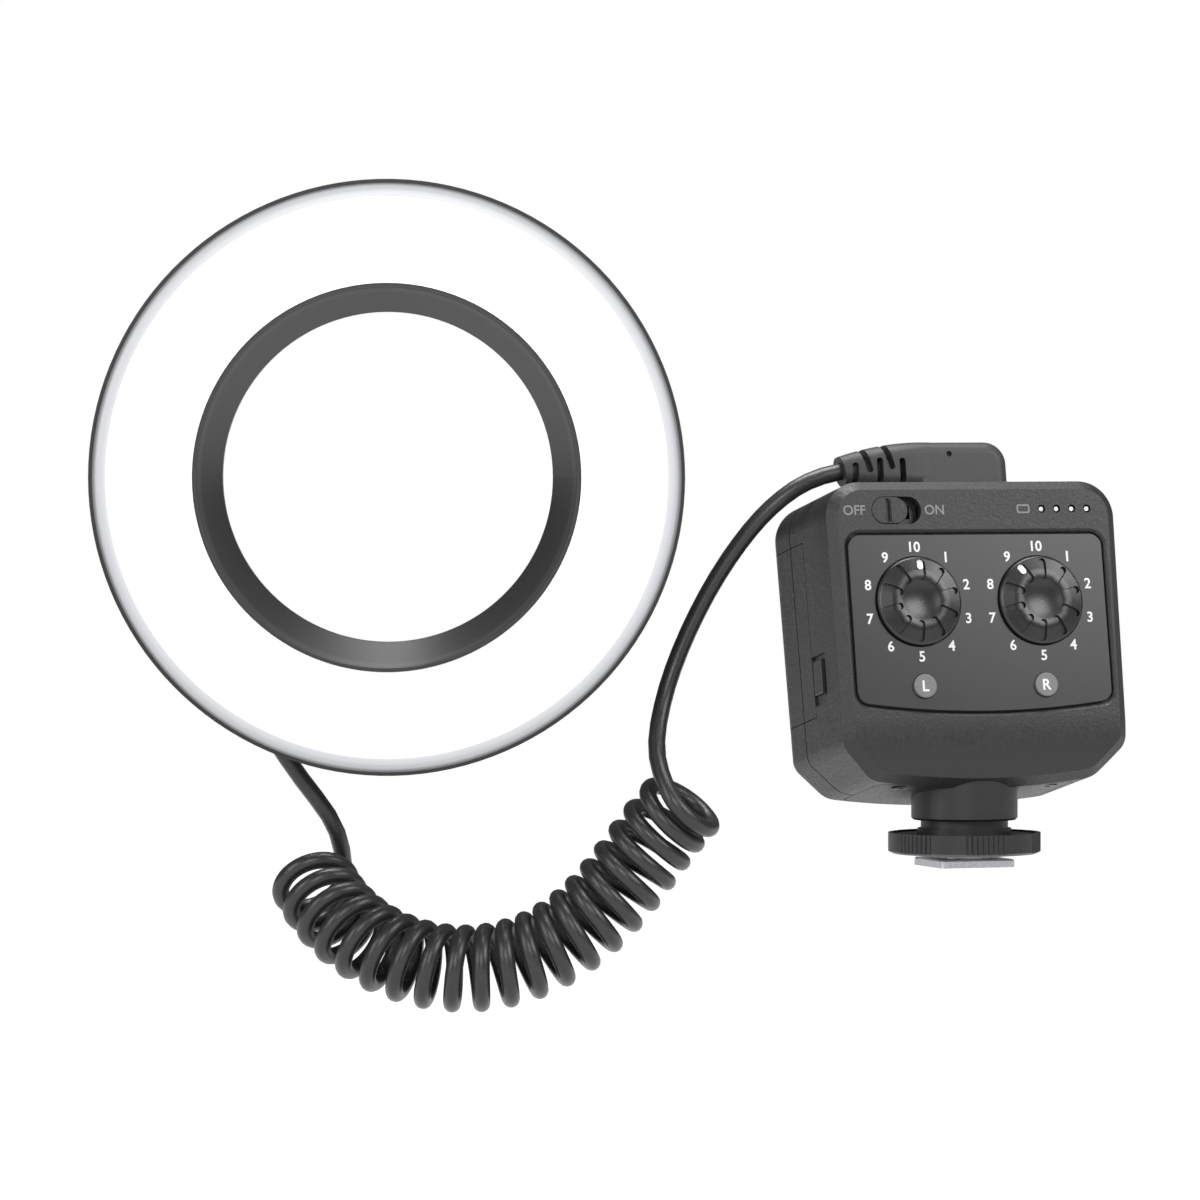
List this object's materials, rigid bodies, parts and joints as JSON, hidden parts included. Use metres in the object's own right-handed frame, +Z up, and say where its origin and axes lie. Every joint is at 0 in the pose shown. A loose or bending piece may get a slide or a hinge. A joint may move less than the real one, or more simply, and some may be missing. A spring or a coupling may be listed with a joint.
{
  "type": "macro led ring light",
  "caption": "Round light head with a wide central hole and a milky front, joined by a curly cord to a leaning two-dial controller that clamps into an accessory shoe.",
  "frame": {"origin": "centre of the shoe foot's underside", "axes": "+Z up from the shoe foot, -Y towards the user side that carries the dials, +X to the right as the dials are faced"},
  "size_m": [0.2352, 0.0941, 0.1958],
  "materials": {
    "case_plastic": "fine grained moulded plastic",
    "panel_plastic": "polished flat panel",
    "dial_plastic": "smooth moulded plastic",
    "white_plastic": "white inlay",
    "button_plastic": "grey moulded plastic",
    "dark_plastic": "moulded plastic",
    "lens_plastic": "clear light window",
    "board": "coated circuit board",
    "steel": "plated steel",
    "cell_sleeve": "wrapped steel cell",
    "foot_metal": "machined metal",
    "ring_plastic": "moulded plastic",
    "diffuser_plastic": "milky translucent sheet",
    "led_plastic": "light chip",
    "cord_rubber": "smooth rubber"
  },
  "bodies": {
    "base": {"battery_cells": "cell_sleeve", "battery_contacts": "steel", "battery_tray": "dark_plastic", "board_screws": "steel", "bottom_cover": "case_plastic", "button_switch_left": "dark_plastic", "button_switch_right": "dark_plastic", "case_screws": "steel", "control_panel": "panel_plastic", "cord_coil": "cord_rubber", "cord_lead_plug": "cord_rubber", "cord_lead_ring": "cord_rubber", "cord_plug": "cord_rubber", "cord_socket": "dark_plastic", "cover_screws": "steel", "dimmer_control_left": "steel", "dimmer_control_right": "steel", "door_hinge_pin": "steel", "front_case": "case_plastic", "indicator_lights": "lens_plastic", "led_board": "board", "lens_seat": "foot_metal", "main_board": "board", "neck_collar": "case_plastic", "post_nut": "steel", "power_switch": "dark_plastic", "rear_case": "case_plastic", "ring_diffuser": "diffuser_plastic", "ring_gland": "cord_rubber", "ring_housing": "ring_plastic", "ring_leds": "led_plastic", "ring_outlet": "ring_plastic", "ring_screws": "steel", "ring_sleeve": "ring_plastic", "shoe_foot": "foot_metal"},
    "dial_left": {"dial_left": "dial_plastic", "dial_pointer_left": "white_plastic", "dial_shaft_left": "steel"},
    "dial_right": {"dial_right": "dial_plastic", "dial_pointer_right": "white_plastic", "dial_shaft_right": "steel"},
    "button_left": {"button_left": "button_plastic"},
    "button_right": {"button_right": "button_plastic"},
    "power_slider": {"power_slider": "case_plastic"},
    "battery_door": {"battery_door": "case_plastic", "door_contacts": "steel", "door_catch": "steel"},
    "door_latch": {"door_latch": "case_plastic"},
    "clamp_washer": {"clamp_washer": "steel"},
    "lock_wheel": {"lock_wheel": "dark_plastic"},
    "ring_lock_left": {"ring_lock_left": "dark_plastic"},
    "ring_lock_right": {"ring_lock_right": "dark_plastic"}
  },
  "joints": [
    {"name": "dial_left_turn", "type": "hinge", "parent": "base", "child": "dial_left", "pos_m": [-0.0154, -0.00957, 0.06276], "axis": [0, -0.9816, 0.1908], "range_deg": [0, 324]},
    {"name": "dial_right_turn", "type": "hinge", "parent": "base", "child": "dial_right", "pos_m": [0.0154, -0.00957, 0.06276], "axis": [0, -0.9816, 0.1908], "range_deg": [-36, 288]},
    {"name": "button_left_press", "type": "slide", "parent": "base", "child": "button_left", "axis": [0, 0.9816, -0.1908], "range_m": [0, 0.0006], "stiffness_N_per_m": 500, "springref_m": -0.0004},
    {"name": "button_right_press", "type": "slide", "parent": "base", "child": "button_right", "axis": [0, 0.9816, -0.1908], "range_m": [0, 0.0006], "stiffness_N_per_m": 500, "springref_m": -0.0004},
    {"name": "power_slide", "type": "slide", "parent": "base", "child": "power_slider", "axis": [1, 0, 0], "range_m": [0, 0.0027]},
    {"name": "door_swing", "type": "hinge", "parent": "base", "child": "battery_door", "pos_m": [-0.0255, 0.03038, 0.04761], "axis": [0, -0.1908, -0.9816], "range_deg": [0, 100]},
    {"name": "latch_slide", "type": "slide", "parent": "base", "child": "door_latch", "axis": [0, 0.9816, -0.1908], "range_m": [0, 0.0013]},
    {"name": "washer_lift", "type": "slide", "parent": "base", "child": "clamp_washer", "axis": [0, 0, 1], "range_m": [-0.0007, 0.0026]},
    {"name": "wheel_turn", "type": "hinge", "parent": "clamp_washer", "child": "lock_wheel", "pos_m": [0, 0, 0.0055], "axis": [0, 0, 1], "range_deg": [-200, 740]},
    {"name": "ring_lock_left_slide", "type": "slide", "parent": "base", "child": "ring_lock_left", "axis": [0.9426, -0.3338, 0], "range_m": [0, 0.0016]},
    {"name": "ring_lock_right_slide", "type": "slide", "parent": "base", "child": "ring_lock_right", "axis": [-0.9426, 0.3338, 0], "range_m": [0, 0.0016]}
  ],
  "couplings": [
    {"joint": "washer_lift", "follows": "wheel_turn", "m_per_rad": 0.00019894}
  ]
}
